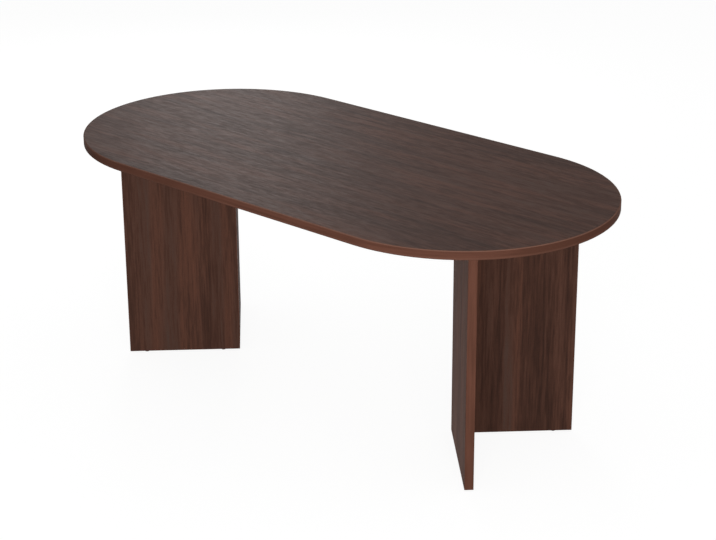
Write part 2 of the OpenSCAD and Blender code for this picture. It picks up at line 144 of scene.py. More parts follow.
class ShaderTree:
    """A node tree that is filled by expressions and by one method for every other node."""

    def __init__(self, tree: bpy.types.NodeTree) -> None:
        """Empties the tree.

        Args:
            tree: The tree of a material or of the world.
        """
        self.tree = tree
        tree.nodes.clear()

    @classmethod
    def of_material(cls, name: str) -> tuple[bpy.types.Material, "ShaderTree"]:
        """Makes a material with an empty tree.

        Args:
            name: The material's name.

        Returns:
            The material and its tree.
        """
        material = bpy.data.materials.new(name)
        material.use_nodes = True
        return material, cls(material.node_tree)

    def add(
        self,
        kind: str,
        settings: Mapping[str, Any] | None = None,
        inputs: Mapping[int | str, Any] | None = None,
    ) -> bpy.types.Node:
        """Adds a node.

        Args:
            kind: The node's type.
            settings: What is set first, such as an operation.
            inputs: A value, a socket or a Value for each input, by number or name.

        Returns:
            The node.
        """
        node = self.tree.nodes.new(kind)
        for name, setting in (settings or {}).items():
            setattr(node, name, setting)
        for key, given in (inputs or {}).items():
            self._feed(node.inputs[key], given)
        return node

    def _feed(self, socket: bpy.types.NodeSocket, given: Any) -> None:
        """Links or sets one input.

        Args:
            socket: The input.
            given: A value, a socket or a Value.
        """
        if isinstance(given, Value):
            self.tree.links.new(given.socket, socket)
        elif isinstance(given, bpy.types.NodeSocket):
            self.tree.links.new(given, socket)
        elif socket.type == "RGBA":
            socket.default_value = (*given, 1.0)
        else:
            socket.default_value = given

    def maths(self, operation: str, *terms: Number) -> Value:
        """Adds one Math node.

        Args:
            operation: The node's operation.
            terms: Its numbers or values, in order.

        Returns:
            The result.
        """
        node = self.add("ShaderNodeMath", {"operation": operation}, dict(enumerate(terms)))
        return Value(self, node.outputs[0])

    def blend(self, share: Number, first: Any, second: Any) -> bpy.types.NodeSocket:
        """Mixes two colours.

        Args:
            share: How much of the second colour there is, from 0 to 1.
            first: A colour or a colour socket.
            second: A colour or a colour socket.

        Returns:
            The mixed colour's socket.
        """
        node = self.add("ShaderNodeMix", {"data_type": "RGBA"}, {0: share, 6: first, 7: second})
        return node.outputs[2]

    def shade(self, colour: Any, strength: Number) -> bpy.types.NodeSocket:
        """Makes a colour lighter or darker.

        Args:
            colour: A colour or a colour socket.
            strength: What the colour is multiplied by.

        Returns:
            The colour's socket.
        """
        node = self.add("ShaderNodeVectorMath", {"operation": "SCALE"}, {0: colour, 3: strength})
        return node.outputs[0]

    def place(self) -> bpy.types.NodeSocket:
        """Gives the point on the object, in metres."""
        return self.add("ShaderNodeTexCoord").outputs["Object"]

    def turned(
        self,
        vector: Any,
        scale: Sequence[float],
        degrees: float = 0.0,
        shift: Sequence[float] = ORIGIN,
    ) -> bpy.types.NodeSocket:
        """Turns, scales and shifts a place before a pattern reads it.

        Args:
            vector: The place.
            scale: The scale on each axis, after the turn.
            degrees: The turn about Z.
            shift: The shift, in the scaled pattern's units.

        Returns:
            The new place.
        """
        spin = (0.0, 0.0, math.radians(degrees))
        turn = self.add("ShaderNodeMapping", None, {"Vector": vector, "Rotation": spin})
        node = self.add(
            "ShaderNodeVectorMath",
            {"operation": "MULTIPLY_ADD"},
            {0: turn.outputs[0], 1: tuple(scale), 2: tuple(shift)},
        )
        return node.outputs[0]

    def axes(self, vector: Any) -> tuple[Value, Value, Value]:
        """Takes a vector apart.

        Args:
            vector: The vector's socket.

        Returns:
            Its X, Y and Z.
        """
        out = self.add("ShaderNodeSeparateXYZ", None, {0: vector}).outputs
        return Value(self, out[0]), Value(self, out[1]), Value(self, out[2])

    def joined(self, x: Number, y: Number, z: Number) -> bpy.types.NodeSocket:
        """Puts a vector together.

        Args:
            x: Its X.
            y: Its Y.
            z: Its Z.

        Returns:
            The vector's socket.
        """
        return self.add("ShaderNodeCombineXYZ", None, {0: x, 1: y, 2: z}).outputs[0]

    def cloud(
        self, vector: Any, scale: float, detail: float = 2.0, roughness: float = 0.5
    ) -> Value:
        """Gives soft noise from 0 to 1.

        Args:
            vector: The place that it reads.
            scale: How many lumps fit in one unit.
            detail: How many finer layers it has.
            roughness: How strong the finer layers are.

        Returns:
            The noise.
        """
        node = self.add(
            "ShaderNodeTexNoise",
            None,
            {"Vector": vector, "Scale": scale, "Detail": detail, "Roughness": roughness},
        )
        return Value(self, node.outputs[0])

    def cells(self, vector: Any, scale: float) -> tuple[Value, Value]:
        """Gives a pattern of cells.

        Args:
            vector: The place that it reads.
            scale: How many cells fit in one unit.

        Returns:
            The distance from the cell's own point, and the cell's own random number.
        """
        out = self.add("ShaderNodeTexVoronoi", None, {"Vector": vector, "Scale": scale}).outputs
        return Value(self, out["Distance"]), self.axes(out["Color"])[0]

    def bumped(self, height: Value, depth: float) -> bpy.types.NodeSocket:
        """Turns a height into a surface normal.

        Args:
            height: The height, where 1 is the full depth.
            depth: The full depth in metres.

        Returns:
            The normal's socket.
        """
        inputs = {"Strength": 1.0, "Distance": depth, "Height": height}
        return self.add("ShaderNodeBump", None, inputs).outputs[0]

    def surface(
        self,
        colour: Any,
        roughness: Number,
        normal: Any = None,
        metallic: float = 0.0,
        specular: float = 0.5,
    ) -> None:
        """Ends a material in one plain surface shader.

        Args:
            colour: The base colour.
            roughness: The roughness.
            normal: The normal's socket, if it has one.
            metallic: 1 for bare metal.
            specular: The strength of the reflection.
        """
        inputs: dict[int | str, Any] = {
            "Base Color": colour,
            "Roughness": roughness,
            "Metallic": metallic,
            "Specular IOR Level": specular,
        }
        if normal is not None:
            inputs["Normal"] = normal
        shader = self.add("ShaderNodeBsdfPrincipled", None, inputs)
        self.add("ShaderNodeOutputMaterial", None, {"Surface": shader.outputs[0]})


# Finishes


class Grain(Enum):
    """Which way the pattern runs: its stretch on X, Y and Z, and its turn about Z in degrees."""

    ALONG_TOP = ((0.10, 1.0, 1.0), 0.0)
    UPRIGHT = ((1.0, 1.0, 0.045), 0.0)
    ROUND_RIM = ((0.045, 0.045, 1.0), 0.0)
    ALONG_RIGHT_LEG = ((0.045, 1.0, 1.0), -45.0)
    ALONG_LEFT_LEG = ((0.045, 1.0, 1.0), 45.0)

    @property
    def stretch(self) -> tuple[float, float, float]:
        """Gives the stretch on each axis."""
        return self.value[0]

    @property
    def turn(self) -> float:
        """Gives the turn about Z in degrees."""
        return self.value[1]


class Finish(ABC):
    """A finish that can be put on pieces.

    Attributes:
        _made: The materials that have been made, by finish.
    """

    _made: dict["Finish", bpy.types.Material] = {}

    @property
    def material(self) -> bpy.types.Material:
        """Gives the finish's material, which is made when it is first used.

        Returns:
            The material.
        """
        if self not in Finish._made:
            made, tree = ShaderTree.of_material(self.title)
            self.paint(tree)
            Finish._made[self] = made
        return Finish._made[self]

    @property
    def title(self) -> str:
        """Gives the material's name."""
        return type(self).__name__

    @abstractmethod
    def paint(self, tree: ShaderTree) -> None:
        """Fills the material's tree.

        Args:
            tree: The empty tree.
        """

    def dress(self, *pieces: bpy.types.Object) -> None:
        """Puts the finish all over some pieces.

        Args:
            pieces: CAD nodes or new pieces.
        """
        for piece in pieces:
            if not piece.material_slots:
                piece.data.materials.append(self.material)
            for slot in piece.material_slots:
                slot.material = self.material


@dataclass(frozen=True)
class WalnutLaminate(Finish):
    """Printed walnut laminate with a satin skin.

    Attributes:
        name: Which panel it is on.
        grain: Which way the pattern runs.
        figure: The shift that picks this panel's part of the pattern.
        spacing: How many broad tones, bands and streaks fit in one metre across the grain.
        fineness: How many ticks, fibres and pores fit in one metre across the grain.
        strength: How strong the broad tones, bands, streaks, ticks and fibres are.
        polish: How much the gloss varies with the streaks, ticks and fibres.
        wander: How far the lines stray from straight, in metres.
        gloss: The strength of the reflection.
        lightness: How light the sheet is beside the others, which on the right front panel is
            painted light.
        deep: Its dark lines and pores.
        plain: Its usual brown.
        ruddy: Its light tones where it is red.
        grey: Its light tones where it is grey.
    """

    name: str
    grain: Grain
    figure: tuple[float, float, float] = ORIGIN
    spacing: tuple[float, float, float] = (14.0, 46.0, 150.0)
    fineness: tuple[float, float, float] = (160.0, 620.0, 900.0)
    strength: tuple[float, float, float, float, float] = (0.36, 0.24, 0.36, 0.18, 0.44)
    polish: tuple[float, float, float] = (-0.05, -0.06, 0.08)
    wander: float = 10.0 * MM
    gloss: float = 0.008
    lightness: float = 1.0
    deep: Colour = (0.040, 0.0195, 0.0145)
    plain: Colour = (0.076, 0.0345, 0.0240)
    ruddy: Colour = (0.106, 0.0445, 0.0295)
    grey: Colour = (0.074, 0.0450, 0.0360)

    @property
    def title(self) -> str:
        """Gives the material's name."""
        return f"walnut_laminate_{self.name}"

    def paint(self, tree: ShaderTree) -> None:
        """Fills the material's tree.

        Args:
            tree: The empty tree.
        """
        grain = self.grain
        place = tree.turned(tree.place(), grain.stretch, grain.turn, self.figure)
        drift = self.wander * (tree.cloud(place, 9.0, 1.0) - 0.5)
        wavy = tree.joined(*(axis + drift for axis in tree.axes(place)))
        short = tuple(stretch**0.8 for stretch in grain.stretch)
        tick_place = tree.turned(tree.place(), short, grain.turn, (4.0, 2.0, 1.0))
        pore_place = tree.turned(place, (2.2, 2.2, 2.2))
        broad = tree.cloud(wavy, self.spacing[0], 1.0, 0.4).ramp(0.30, 0.70)
        bands = tree.cloud(wavy, self.spacing[1], 2.0, 0.45).ramp(0.28, 0.72)
        streaks = tree.cloud(wavy, self.spacing[2]).ramp(0.25, 0.75)
        ticks = tree.cloud(tick_place, self.fineness[0], 2.0, 0.6).ramp(0.32, 0.68)
        fibres = tree.cloud(wavy, self.fineness[1], 2.0, 0.55)
        pores = tree.cloud(pore_place, self.fineness[2], 1.0).ramp(0.60, 0.74)
        hue = tree.cloud(wavy, 24.0, 1.0, 0.4).ramp(0.34, 0.66)
        tone: Number = 0.5
        for layer, strength in zip((broad, bands, streaks, ticks, fibres), self.strength):
            tone = tone + strength * (layer - 0.5)
        tone = tone.held()
        ruddy = tree.blend((tone - 0.45).held() * 2.0, self.plain, self.ruddy)
        grey = tree.blend((tone - 0.45).held() * 1.4, self.plain, self.grey)
        colour = tree.blend((0.62 - tone).held() * 1.9, tree.blend(hue, grey, ruddy), self.deep)
        colour = tree.shade(tree.blend(pores * 0.55, colour, self.deep), self.lightness)
        height = 0.6 * fibres + 0.4 * streaks - 0.8 * pores
        roughness: Number = 0.52 + 0.08 * pores
        for layer, change in zip((streaks, ticks, fibres), self.polish):
            roughness = roughness + change * (layer - 0.5)
        tree.surface(colour, roughness, tree.bumped(height, 0.05 * MM), specular=self.gloss)


@dataclass(frozen=True)
class EdgeBand(Finish):
    """Walnut-coloured plastic band, a little redder and lighter than the laminate.

    Attributes:
        grain: Which way the pattern runs.
        deep: Its dark streaks, and on the rim also its painted shade at the ends and along the
            lower edge.
        plain: Its usual brown.
    """

    grain: Grain
    deep: Colour = (0.082, 0.034, 0.0225)
    plain: Colour = (0.132, 0.0545, 0.0365)

    @property
    def title(self) -> str:
        """Gives the material's name."""
        return f"edge_band_{self.grain.name.lower()}"

    def coloured(self, tree: ShaderTree, where: Any, tone: Value) -> bpy.types.NodeSocket:
        """Gives the band's colour.

        Args:
            tree: The material's tree.
            where: The point on the object.
            tone: How light the pattern is there.

        Returns:
            The colour's socket.
        """
        return tree.blend(tone.held(), self.deep, self.plain)

    def paint(self, tree: ShaderTree) -> None:
        """Fills the material's tree.

        Args:
            tree: The empty tree.
        """
        where = tree.place()
        place = tree.turned(where, self.grain.stretch, self.grain.turn, (0.3, 0.7, 0.1))
        bands = tree.cloud(place, 90.0).ramp(0.3, 0.7)
        fibres = tree.cloud(place, 700.0, 2.0, 0.55)
        patches = tree.cloud(where, 7.0)
        tone = 0.5 + 0.6 * (bands - 0.5) + 0.35 * (fibres - 0.5) + 0.9 * (patches - 0.5)
        roughness = 0.46 + 0.12 * (fibres - 0.5)
        normal = tree.bumped(fibres, 0.04 * MM)
        tree.surface(self.coloured(tree, where, tone), roughness, normal, specular=0.005)


@dataclass(frozen=True)
class RimBand(EdgeBand):
    """The band round the top: painted shade towards both ends, over its left half and along its
    lower edge, and a pale upper corner that is painted highlight and wear, with scrapes at its
    lower corner.

    Attributes:
        top: The height of its upper corner.
        worn: How far below the top its painted highlight and wear start and are full, at its upper
            corner.
        scraped: How far below the top its scrapes are full and start, at its lower corner.
        shaded: How far below the top its painted shade along the lower edge is full and starts.
        light: Its pale upper corner, which is painted highlight and wear, and its scraped lower
            corner.
    """

    top: float = 0.0
    worn: tuple[float, float] = (3.0 * MM, 1.0 * MM)
    scraped: tuple[float, float] = (20.5 * MM, 18.5 * MM)
    shaded: tuple[float, float] = (24.5 * MM, 22.0 * MM)
    light: Colour = (0.205, 0.104, 0.075)

    def coloured(self, tree: ShaderTree, where: Any, tone: Value) -> bpy.types.NodeSocket:
        """Gives the rim's colour, with its painted shade and its painted highlight.

        Args:
            tree: The material's tree.
            where: The point on the object.
            tone: How light the pattern is there.

        Returns:
            The colour's socket.
        """
        right, _, z = tree.axes(where)
        left = 0.0 - right
        # Painted shade: the band's tone drops towards its left and right ends.
        tone = tone - 0.6 * left.ramp(0.35, 0.75) - 0.5 * right.ramp(0.76, 0.92)
        # Painted highlight, partly wear: the upper rounded corner is paler.
        worn = z.ramp(*(self.top - depth for depth in self.worn))
        scraped = 1.0 - z.ramp(*(self.top - depth for depth in self.scraped))
        # Painted shade along the lower edge of the band.
        shaded = 1.0 - z.ramp(*(self.top - depth for depth in self.shaded))
        colour = super().coloured(tree, where, tone)
        colour = tree.blend((worn + 0.2 * scraped).held() * 0.8, colour, self.light)
        colour = tree.blend(shaded * 0.6, colour, self.deep)
        # Painted shade: the colour is darkened from the middle of the band leftwards, and more
        # near its left end.
        darker = 0.18 * left.ramp(-0.05, 0.15) + 0.15 * left.ramp(0.45, 0.68)
        return tree.shade(colour, 1.0 - darker)


@dataclass(frozen=True)
class BackingSheet(Finish):
    """Plain brown backing on the underside of the top, dull and faintly mottled.

    Attributes:
        dark: Its darker mottles.
        light: Its lighter mottles.
        scuffed: Its scuff marks.
    """

    dark: Colour = (0.034, 0.021, 0.0165)
    light: Colour = (0.056, 0.036, 0.028)
    scuffed: Colour = (0.10, 0.075, 0.062)

    def paint(self, tree: ShaderTree) -> None:
        """Fills the material's tree.

        Args:
            tree: The empty tree.
        """
        place = tree.place()
        mottle = tree.cloud(place, 60.0, 4.0, 0.6)
        crepe = tree.cloud(place, 1400.0, 2.0, 0.6)
        scuffs = tree.cloud(tree.turned(place, (0.08, 1.0, 1.0), 31.0), 240.0).ramp(0.68, 0.80)
        colour = tree.blend((mottle * 0.6 + crepe * 0.4).ramp(0.3, 0.7), self.dark, self.light)
        colour = tree.blend(scuffs * 0.25, colour, self.scuffed)
        roughness = 0.62 + 0.12 * (crepe - 0.5)
        tree.surface(colour, roughness, tree.bumped(crepe, 0.06 * MM), specular=0.2)


@dataclass(frozen=True)
class ParticleBoard(Finish):
    """Raw particle board, seen where the boards are bored or cut open.

    Attributes:
        dark: Its darkest chips.
        pale: Its palest chips.
        gap: The gaps between chips.
    """

    dark: Colour = (0.30, 0.185, 0.095)
    pale: Colour = (0.60, 0.43, 0.26)
    gap: Colour = (0.16, 0.095, 0.05)

    def paint(self, tree: ShaderTree) -> None:
        """Fills the material's tree.

        Args:
            tree: The empty tree.
        """
        place = tree.place()
        edge, chip = tree.cells(place, 420.0)
        fine = tree.cloud(place, 1600.0, 2.0, 0.6)
        colour = tree.blend(chip, self.dark, self.pale)
        colour = tree.blend(edge.ramp(0.35, 0.75) * 0.6, colour, self.gap)
        height = (1.0 - edge) * 0.6 + fine * 0.4
        tree.surface(colour, 0.85 - 0.1 * fine, tree.bumped(height, 0.3 * MM), specular=0.2)


@dataclass(frozen=True)
class Beech(Finish):
    """Turned beech with its short dark flecks.

    Attributes:
        dark: Its darker grain.
        pale: Its paler grain.
        fleck: Its flecks.
    """

    dark: Colour = (0.50, 0.33, 0.18)
    pale: Colour = (0.72, 0.53, 0.33)
    fleck: Colour = (0.26, 0.14, 0.07)

    def paint(self, tree: ShaderTree) -> None:
        """Fills the material's tree.

        Args:
            tree: The empty tree.
        """
        place = tree.place()
        short = tree.turned(place, (0.3, 1.0, 1.0), 45.0, (2.0, 0.0, 0.0))
        grain = tree.cloud(tree.turned(place, (0.1, 1.0, 1.0), 45.0), 900.0, 3.0)
        flecks = tree.cloud(short, 1500.0, 1.0).ramp(0.62, 0.7)
        colour = tree.blend(grain, self.dark, self.pale)
        colour = tree.blend(flecks * 0.5, colour, self.fleck)
        roughness = 0.6 + 0.1 * (grain - 0.5)
        tree.surface(colour, roughness, tree.bumped(grain, 0.05 * MM), specular=0.3)


@dataclass(frozen=True)
class ZincPlate(Finish):
    """Bright zinc plate over pressed or turned steel, with faint clouding and draw marks.

    Attributes:
        dull: Its clouded parts.
        bright: Its bright parts.
        speck: Its dark specks.
    """

    dull: Colour = (0.42, 0.43, 0.45)
    bright: Colour = (0.66, 0.67, 0.69)
    speck: Colour = (0.25, 0.25, 0.27)

    def paint(self, tree: ShaderTree) -> None:
        """Fills the material's tree.

        Args:
            tree: The empty tree.
        """
        place = tree.place()
        clouds = tree.cloud(place, 90.0, 3.0, 0.55)
        marks = tree.cloud(tree.turned(place, (0.06, 1.0, 1.0), 45.0), 2200.0)
        specks = tree.cloud(place, 1900.0, 1.0).ramp(0.66, 0.74)
        colour = tree.blend((0.7 * clouds + 0.3 * marks).ramp(0.3, 0.7), self.dull, self.bright)
        colour = tree.blend(specks * 0.4, colour, self.speck)
        roughness = 0.30 + 0.22 * clouds + 0.08 * (marks - 0.5)
        tree.surface(colour, roughness, tree.bumped(marks - specks, 0.02 * MM), metallic=1.0)


@dataclass(frozen=True)
class CastZinc(Finish):
    """Die-cast zinc with the fine orange peel of its mould and soft grey stains.

    Attributes:
        stained: Its darkest stains.
        clean: Its clean skin.
    """

    stained: Colour = (0.30, 0.30, 0.31)
    clean: Colour = (0.50, 0.50, 0.51)

    def paint(self, tree: ShaderTree) -> None:
        """Fills the material's tree.

        Args:
            tree: The empty tree.
        """
        place = tree.place()
        peel = tree.cloud(place, 2600.0, 2.0, 0.6)
        stains = tree.cloud(place, 320.0, 3.0, 0.6)
        colour = tree.blend(stains.ramp(0.3, 0.7), self.stained, self.clean)
        tree.surface(colour, 0.42 + 0.2 * stains, tree.bumped(peel, 0.04 * MM), metallic=1.0)


@dataclass(frozen=True)
class BlackNylon(Finish):
    """Moulded black nylon, a little greyed where it rubs on the floor.

    Attributes:
        black: Its darkest grit.
        plain: Its usual black.
        rubbed: The grey where it rubs.
        rub_height: How high the rubbed part reaches.
    """

    black: Colour = (0.009, 0.009, 0.010)
    plain: Colour = (0.020, 0.020, 0.021)
    rubbed: Colour = (0.060, 0.058, 0.056)
    rub_height: float = 1.1 * MM

    def paint(self, tree: ShaderTree) -> None:
        """Fills the material's tree.

        Args:
            tree: The empty tree.
        """
        place = tree.place()
        grit = tree.cloud(place, 2400.0, 3.0, 0.6)
        wear = tree.cloud(place, 300.0, 3.0, 0.6).ramp(0.35, 0.65)
        low = (1.0 - tree.axes(place)[2].ramp(0.0, self.rub_height)) * wear
        colour = tree.blend(grit, self.black, self.plain)
        colour = tree.blend(low * 0.6, colour, self.rubbed)
        tree.surface(colour, 0.45 + 0.25 * low, tree.bumped(grit, 0.03 * MM), specular=0.4)


# Modelling


class Part(Enum):
    """What is selected in a mesh: the mesh's own list of it, and its select mode."""

    FACES = ("faces", "FACE")
    EDGES = ("edges", "EDGE")
    CORNERS = ("verts", "VERT")


class Bench:
    """The workbench: modelling steps that each start from an empty selection.

    Attributes:
        sharp: How many degrees two faces turn where they show an edge.
        rounding_steps: How many steps the rounding of an edge has.
        thread_steps: How many steps one turn of a thread has.
        crest_share: How wide a thread's crest is beside its root.
        thread_bury: How far a thread's ridge starts inside its shank.
    """

    sharp = 35.0
    rounding_steps = 2
    thread_steps = 20
    crest_share = 0.18
    thread_bury = 0.1 * MM

    @staticmethod
    def clear() -> None:
        """Leaves edit mode and deselects everything."""
        if bpy.context.object and bpy.context.object.mode != "OBJECT":
            bpy.ops.object.mode_set(mode="OBJECT")
        bpy.ops.object.select_all(action="DESELECT")

    @staticmethod
    def take(*pieces: bpy.types.Object) -> None:
        """Selects some pieces and makes the first one active.

        Args:
            pieces: The pieces.
        """
        Bench.clear()
        for piece in pieces:
            piece.select_set(True)
        bpy.context.view_layer.objects.active = pieces[0]

    @staticmethod
    def settle(piece: bpy.types.Object) -> None:
        """Moves a piece's place, turn and scale into its mesh.

        Args:
            piece: The piece.
        """
        Bench.take(piece)
        bpy.ops.object.transform_apply(location=True, rotation=True, scale=True)

    @staticmethod
    def block(name: str, size: Sequence[float], centre: Sequence[float]) -> bpy.types.Object:
        """Starts a piece from a cube of its size, at its place.

        Args:
            name: The piece's name.
            size: Its size on each axis.
            centre: Its centre.

        Returns:
            The piece.
        """
        Bench.clear()
        bpy.ops.mesh.primitive_cube_add(size=1.0, location=centre, scale=tuple(size))
        piece = bpy.context.object
        piece.name = name
        Bench.settle(piece)
        return piece

    @staticmethod
    def choose(
        piece: bpy.types.Object, test: Callable[[Any], bool], part: Part = Part.FACES
    ) -> None:
        """Selects faces, edges or corners in edit mode by a test.

        Args:
            piece: The piece.
            test: Says whether one of them is wanted.
            part: Which of them are tested.
        """
        elements, mode = part.value
        Bench.take(piece)
        bpy.ops.object.mode_set(mode="EDIT")
        bpy.ops.mesh.select_mode(type=mode)
        bpy.ops.mesh.select_all(action="DESELECT")
        mesh = bmesh.from_edit_mesh(piece.data)
        for element in getattr(mesh, elements):
            if test(element):
                element.select_set(True)
        mesh.select_flush_mode()
        bmesh.update_edit_mesh(piece.data)

    @staticmethod
    def face_outwards() -> None:
        """Turns all faces of the piece in edit mode outwards."""
        bpy.ops.mesh.select_all(action="SELECT")
        bpy.ops.mesh.normals_make_consistent(inside=False)

    @staticmethod
    def turned(name: str, profile: Sequence[tuple[float, float]], sides: int) -> bpy.types.Object:
        """Turns a solid about Z, ring by ring from the disc at its start.

        Args:
            name: The piece's name.
            profile: The radius and height of each ring.
            sides: How many sides the rings have.

        Returns:
            The piece.
        """
        (radius, height), *rest = profile
        Bench.clear()
        bpy.ops.mesh.primitive_circle_add(
            vertices=sides, radius=radius, fill_type="NGON", location=(0.0, 0.0, height)
        )
        piece = bpy.context.object
        piece.name = name
        Bench.settle(piece)
        bpy.ops.object.mode_set(mode="EDIT")
        bpy.ops.mesh.select_all(action="SELECT")
        for wider, higher in rest:
            rise = {"value": (0.0, 0.0, higher - height)}
            growth = (wider / radius, wider / radius, 1.0)
            bpy.ops.mesh.extrude_region_move(TRANSFORM_OT_translate=rise)
            bpy.ops.transform.resize(value=growth, center_override=(0.0, 0.0, higher))
            radius, height = wider, higher
        Bench.face_outwards()
        Bench.clear()
        return piece

    @staticmethod
    def ridge(
        name: str, radii: tuple[float, float], base: float, pitch: float, bottom: float, turns: int
    ) -> bpy.types.Object:
        """Winds the ridge of a right-hand screw thread up Z.

        Args:
            name: The piece's name.
            radii: The radius of its root, on the shank, and that of its crest.
            base: How wide it is at the root.
            pitch: How far it climbs in one turn.
            bottom: The height of its start.
            turns: How many turns it has.

        Returns:
            The piece.
        """
        root, crest = radii[0] - Bench.thread_bury, radii[1]
        centre = ((root + crest) / 2, 0.0, bottom + base / 2)
        Bench.clear()
        bpy.ops.mesh.primitive_plane_add(size=1.0, location=centre, rotation=(QUARTER, 0.0, 0.0))
        piece = bpy.context.object
        piece.name = name
        piece.scale = (crest - root, base, 1.0)
        Bench.settle(piece)
        Bench.choose(piece, lambda corner: corner.co.x > centre[0], Part.CORNERS)
        bpy.ops.transform.resize(
            value=(1.0, 1.0, Bench.crest_share), center_override=(crest, 0.0, centre[2])
        )
        bpy.ops.mesh.select_all(action="SELECT")
        bpy.ops.mesh.delete(type="ONLY_FACE")
        Bench.clear()
        winding = piece.modifiers.new("winding", "SCREW")
        winding.axis = "Z"
        winding.angle = math.tau
        winding.screw_offset = pitch
        winding.iterations = turns
        winding.steps = winding.render_steps = Bench.thread_steps
        Bench.apply(piece, winding)
        bpy.ops.object.mode_set(mode="EDIT")
        bpy.ops.mesh.select_all(action="SELECT")
        bpy.ops.mesh.remove_doubles(threshold=1e-7)
        bpy.ops.mesh.fill_holes(sides=4)
        Bench.face_outwards()
        Bench.clear()
        return piece

    @staticmethod
    def apply(piece: bpy.types.Object, modifier: bpy.types.Modifier) -> None:
        """Applies a modifier.

        Args:
            piece: The piece that it is on.
            modifier: The modifier.
        """
        Bench.take(piece)
        bpy.ops.object.modifier_apply(modifier=modifier.name)

    @staticmethod
    def cut(piece: bpy.types.Object, cutter: bpy.types.Object) -> None:
        """Cuts a shape out of a piece and throws the cutter away.

        Args:
            piece: The piece.
            cutter: The shape.
        """
        bite = piece.modifiers.new("bite", "BOOLEAN")
        bite.operation = "DIFFERENCE"
        bite.solver = "EXACT"
        bite.object = cutter
        Bench.apply(piece, bite)
        Bench.discard(cutter)

    @staticmethod
    def soften(piece: bpy.types.Object, width: float) -> None:
        """Rounds the sharp edges of a piece and smooths its shading.

        Args:
            piece: The piece.
            width: How wide the rounding is.
        """
        round_off = piece.modifiers.new("round_off", "BEVEL")
        round_off.width = width
        round_off.segments = Bench.rounding_steps
        round_off.limit_method = "ANGLE"
        round_off.angle_limit = math.radians(Bench.sharp)
        round_off.use_clamp_overlap = True
        Bench.apply(piece, round_off)
        Bench.smooth(piece)

    @staticmethod
    def smooth(piece: bpy.types.Object, degrees: float = sharp) -> None:
        """Smooths the shading between faces that meet at a small angle.

        Args:
            piece: The piece.
            degrees: The largest such angle.
        """
        Bench.take(piece)
        bpy.ops.object.shade_smooth_by_angle(angle=math.radians(degrees))

    @staticmethod
    def level_shading(piece: bpy.types.Object) -> None:
        """Keeps broad faces evenly shaded where they run into a rounding.

        Args:
            piece: The piece.
        """
        even = piece.modifiers.new("even", "WEIGHTED_NORMAL")
        even.keep_sharp = True
        even.weight = 100
        Bench.apply(piece, even)

    @staticmethod
    def joined(name: str, pieces: Sequence[bpy.types.Object]) -> bpy.types.Object:
        """Joins pieces into one.

        Args:
            name: The new piece's name.
            pieces: The pieces.

        Returns:
            The piece.
        """
        Bench.take(*pieces)
        bpy.ops.object.join()
        piece = bpy.context.view_layer.objects.active
        piece.name = name
        return piece

    @staticmethod
    def placed(pattern: bpy.types.Object, name: str, where: Matrix) -> bpy.types.Object:
        """Copies a pattern piece, with its own mesh, to a place.

        Args:
            pattern: The piece that is copied.
            name: The copy's name.
            where: The copy's place and turn.

        Returns:
            The copy.
        """
        Bench.take(pattern)
        bpy.ops.object.duplicate(linked=False)
        piece = bpy.context.object
        piece.name = name
        piece.matrix_world = where
        Bench.settle(piece)
        return piece

    @staticmethod
    def discard(*pieces: bpy.types.Object) -> None:
        """Throws away patterns that have been copied and cutters that have cut.

        Args:
            pieces: The pieces.
        """
        for piece in pieces:
            bpy.data.objects.remove(piece, do_unlink=True)


# The table


@dataclass
class Tabletop:
    """The racetrack top: core, laminate, backing sheet and the band round its rim.

    Attributes:
        height: The height of its upper face.
    """

    height: float = 0.737

    def dress(self, nodes: Mapping[str, bpy.types.Object]) -> None:
        """Finishes the top's CAD nodes.

        Args:
            nodes: The CAD nodes by name.
        """
        ParticleBoard().dress(nodes["top_core"])
        pattern = WalnutLaminate(
            "top",
            Grain.ALONG_TOP,
            spacing=(12.0, 40.0, 88.0),
            strength=(0.24, 0.30, 0.30, 0.21, 0.18),
            polish=(-0.06, -0.07, 0.085),
            gloss=0.036,
            lightness=1.06,
        )
        pattern.dress(nodes["top_sheet"])
        BackingSheet().dress(nodes["top_backer"])
        RimBand(Grain.ROUND_RIM, top=self.height).dress(nodes["top_rim_band"])
        LOG.info("dressed the top")


class Side(Enum):
    """The end of the table that a base stands at, by its sign on X."""

    LEFT = -1.0
    RIGHT = 1.0


class Row(Enum):
    """The long side of the table that a leg panel reaches to, by its sign on Y."""

    FRONT = -1.0
    BACK = 1.0


